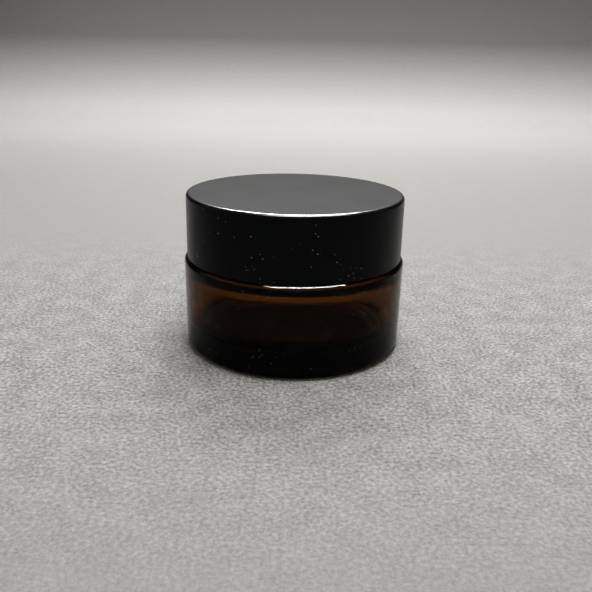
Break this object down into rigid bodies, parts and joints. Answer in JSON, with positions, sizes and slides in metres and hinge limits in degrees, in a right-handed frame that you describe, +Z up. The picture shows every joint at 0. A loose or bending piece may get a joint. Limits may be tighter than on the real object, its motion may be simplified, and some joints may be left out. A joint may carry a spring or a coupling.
{
  "type": "cosmetic cream jar",
  "caption": "Low round amber glass cream jar with a smooth black double-wall screw lid, a foam liner and a sealing disc with a pull tab.",
  "frame": {"origin": "on the jar's axis, in the plane that the jar stands on", "axes": "+Z up along the jar's axis, towards the lid's top; +X from the axis towards the pull tab's hinge"},
  "size_m": [0.0528, 0.0528, 0.037],
  "materials": {
    "amber_glass": "fire-polished amber glass",
    "natural_polyethylene": "milky moulded polyethylene",
    "liner_foam": "skinned expanded polyethylene foam",
    "black_polypropylene": "moulded polypropylene",
    "satin_black_plastic": "satin moulded plastic"
  },
  "bodies": {
    "jar": {"glass_jar": "amber_glass"},
    "seal": {"sealing_disc": "natural_polyethylene"},
    "tab": {"disc_pull_tab": "natural_polyethylene"},
    "liner": {"cap_liner": "liner_foam"},
    "lid": {"lid_shell": "satin_black_plastic", "threaded_inner_cap": "black_polypropylene"}
  },
  "joints": [
    {"name": "lid_lift", "type": "slide", "parent": "jar", "child": "liner", "axis": [0, 0, 1], "range_m": [0, 0.0295]},
    {"name": "lid_turn", "type": "hinge", "parent": "liner", "child": "lid", "pos_m": [0, 0, 0.0342], "axis": [0, 0, 1], "range_deg": [0, 2520]},
    {"name": "seal_lift", "type": "slide", "parent": "jar", "child": "seal", "axis": [0, 0, 1], "range_m": [0, 0.0103]},
    {"name": "tab_fold", "type": "hinge", "parent": "seal", "child": "tab", "pos_m": [0.01475, 0, 0.0323], "axis": [0, 1, 0], "range_deg": [0, 85]}
  ],
  "couplings": [
    {"joint": "lid_lift", "follows": "lid_turn", "m_per_rad": 0.00066845},
    {"joint": "seal_lift", "follows": "lid_turn", "m_per_rad": 0.00023396},
    {"joint": "tab_fold", "follows": "lid_turn", "ratio": 0.0337}
  ]
}
